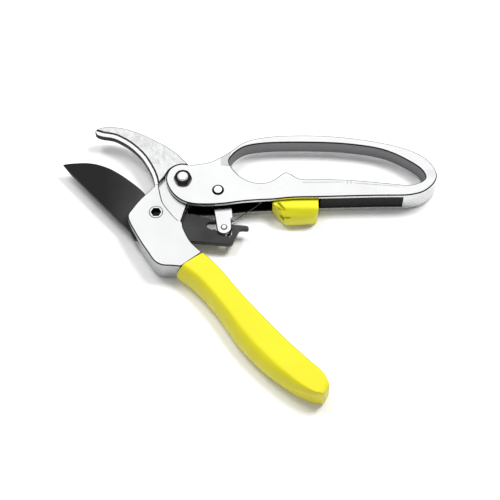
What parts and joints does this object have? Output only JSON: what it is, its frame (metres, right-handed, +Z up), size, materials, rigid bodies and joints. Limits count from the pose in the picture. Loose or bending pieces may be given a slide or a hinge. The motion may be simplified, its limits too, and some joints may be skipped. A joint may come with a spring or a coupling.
{
  "type": "bypass pruner",
  "caption": "Hand pruner lying flat and open: curved hook, dark curved blade driven by a ratchet link, looped upper handle with sliding lock, and a sleeved lower handle.",
  "frame": {"origin": "centre of the bounding box in plan, on the plane the tool rests on", "axes": "+X from the cutting end towards the handle ends, +Z up out of the face with the handle nut"},
  "size_m": [0.2085, 0.1645, 0.0182],
  "materials": {
    "lower_handle": "polished casting, matte on the hook",
    "grip_sleeve": "bright yellow dipped vinyl",
    "blade_bushing": "plain bronze",
    "blade_bolt": "plated hex-socket screw",
    "blade_nut": "round slotted nut",
    "blade_shims": "thin spring-steel shims",
    "handle_bushing": "plain bronze",
    "upper_handle": "polished casting",
    "channel_filler": "black moulded insert",
    "handle_bolt": "bright plated M6 bolt",
    "handle_nut": "blackened hexagon nut",
    "handle_washers": "thin washers",
    "return_spring": "spring wire",
    "pawl_rivet": "domed rivet",
    "pawl_front_washer": "plain washer",
    "pawl_back_washer": "plain washer",
    "spring_pin": "ground pin, ends flush",
    "pawl_spring": "spring wire",
    "slider_pin": "flush ring rivet",
    "cutting_blade": "near-black non-stick coating",
    "pawl_front_link": "bright plated stamping",
    "pawl_back_link": "bright plated stamping",
    "pawl_spacer": "turned tube",
    "pawl_pin": "hardened cross pin",
    "lock_slider": "bright yellow moulding"
  },
  "bodies": {
    "lower_handle": {"lower_handle": "lower_handle", "grip_sleeve": "grip_sleeve", "blade_bushing": "blade_bushing", "blade_bolt": "blade_bolt", "blade_nut": "blade_nut", "blade_shims": "blade_shims", "handle_bushing": "handle_bushing"},
    "upper_handle": {"upper_handle": "upper_handle", "channel_filler": "channel_filler", "handle_bolt": "handle_bolt", "handle_nut": "handle_nut", "handle_washers": "handle_washers", "return_spring": "return_spring", "pawl_rivet": "pawl_rivet", "pawl_front_washer": "pawl_front_washer", "pawl_back_washer": "pawl_back_washer", "spring_pin": "spring_pin", "pawl_spring": "pawl_spring", "slider_pin": "slider_pin"},
    "blade": {"cutting_blade": "cutting_blade"},
    "pawl": {"pawl_front_link": "pawl_front_link", "pawl_back_link": "pawl_back_link", "pawl_spacer": "pawl_spacer", "pawl_pin": "pawl_pin"},
    "lock": {"lock_slider": "lock_slider"}
  },
  "joints": [
    {"name": "handle_hinge", "type": "hinge", "parent": "lower_handle", "child": "upper_handle", "pos_m": [-0.03655, 0.0473, 0.0076], "axis": [0, 0, -1], "range_deg": [0, 40], "stiffness_Nm_per_rad": 0.4, "springref_deg": -28.65},
    {"name": "blade_hinge", "type": "hinge", "parent": "lower_handle", "child": "blade", "pos_m": [-0.05085, 0.0263, 0.0076], "axis": [0, 0, -1], "range_deg": [0, 26]},
    {"name": "pawl_hinge", "type": "hinge", "parent": "upper_handle", "child": "pawl", "pos_m": [-0.01705, 0.04, 0.0076], "axis": [0, 0, 1], "range_deg": [0, 34]},
    {"name": "lock_slide", "type": "slide", "parent": "upper_handle", "child": "lock", "axis": [-1, 0, 0], "range_m": [0, 0.0056]}
  ],
  "couplings": [
    {"joint": "blade_hinge", "follows": "handle_hinge", "ratio": 0.65},
    {"joint": "pawl_hinge", "follows": "handle_hinge", "ratio": 0.85}
  ]
}
